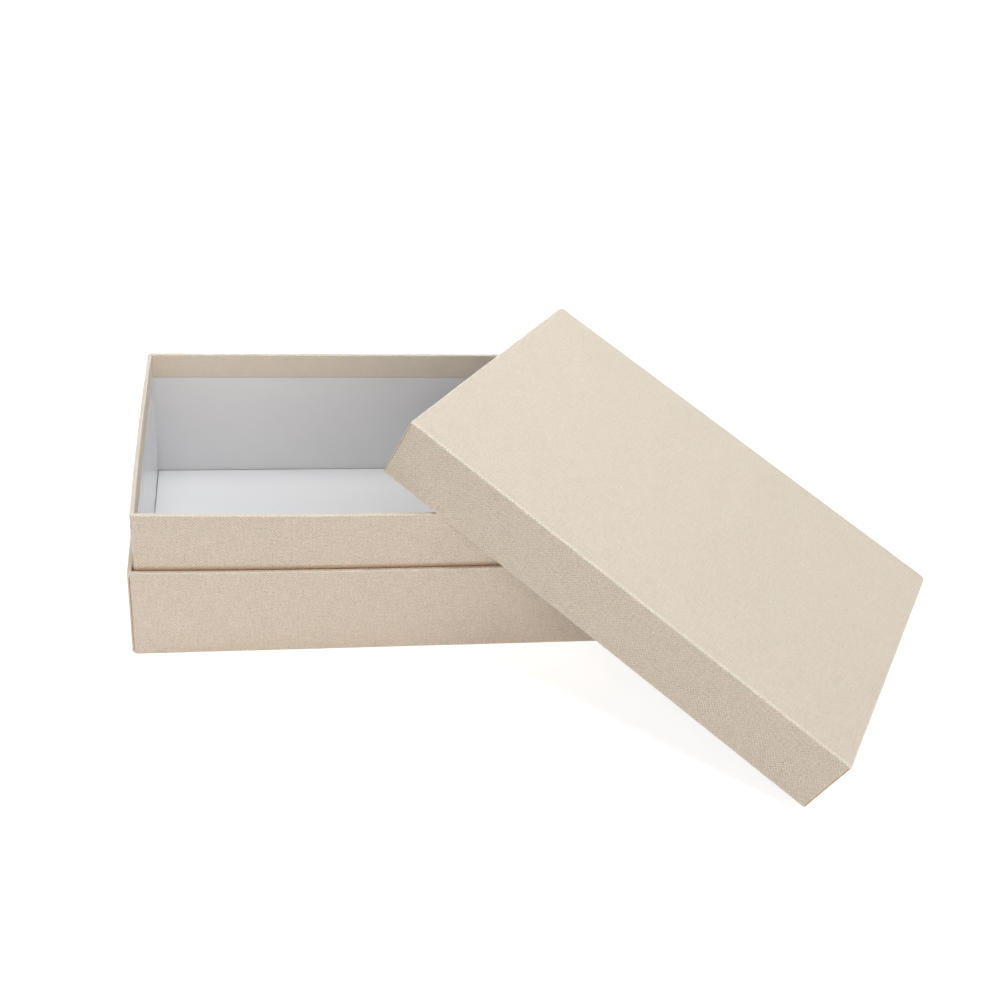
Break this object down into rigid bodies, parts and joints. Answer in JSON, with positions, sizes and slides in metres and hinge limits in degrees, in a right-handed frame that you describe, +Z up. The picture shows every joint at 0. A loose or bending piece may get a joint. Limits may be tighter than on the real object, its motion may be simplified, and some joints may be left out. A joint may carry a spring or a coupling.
{
  "type": "neck and shoulder gift box",
  "caption": "Rigid gift box in linen paper: a base tray holds a taller neck tray lined in white, and the lift-off lid leans open against its rim.",
  "frame": {"origin": "middle of the base tray's underside, on the table", "axes": "+X along the box to its right, where the lid leans; +Y to its back; +Z up"},
  "size_m": [0.5267, 0.3788, 0.1608],
  "materials": {
    "grey_board": "matte",
    "linen_paper": "matte, linen embossed",
    "white_lining": "smooth matte",
    "corner_tape": "matte"
  },
  "bodies": {
    "box": {"base_bottom_board": "grey_board", "base_front_board": "grey_board", "base_back_board": "grey_board", "base_left_board": "grey_board", "base_right_board": "grey_board", "base_corner_tapes": "corner_tape", "base_cover": "linen_paper", "base_foot_sheet": "linen_paper", "neck_bottom_board": "grey_board", "neck_front_board": "grey_board", "neck_back_board": "grey_board", "neck_left_board": "grey_board", "neck_right_board": "grey_board", "neck_corner_tapes": "corner_tape", "neck_cover": "linen_paper", "neck_floor_lining": "white_lining", "neck_front_lining": "white_lining", "neck_back_lining": "white_lining", "neck_left_lining": "white_lining", "neck_right_lining": "white_lining"},
    "lid": {"lid_top_board": "grey_board", "lid_front_board": "grey_board", "lid_back_board": "grey_board", "lid_left_board": "grey_board", "lid_right_board": "grey_board", "lid_corner_tapes": "corner_tape", "lid_cover": "linen_paper", "lid_top_lining": "white_lining", "lid_front_lining": "white_lining", "lid_back_lining": "white_lining", "lid_left_lining": "white_lining", "lid_right_lining": "white_lining"}
  },
  "joints": [
    {"name": "lid_lift", "type": "slide", "parent": "box", "child": "lid", "axis": [0, 0, 1], "range_m": [0, 0.2]}
  ]
}
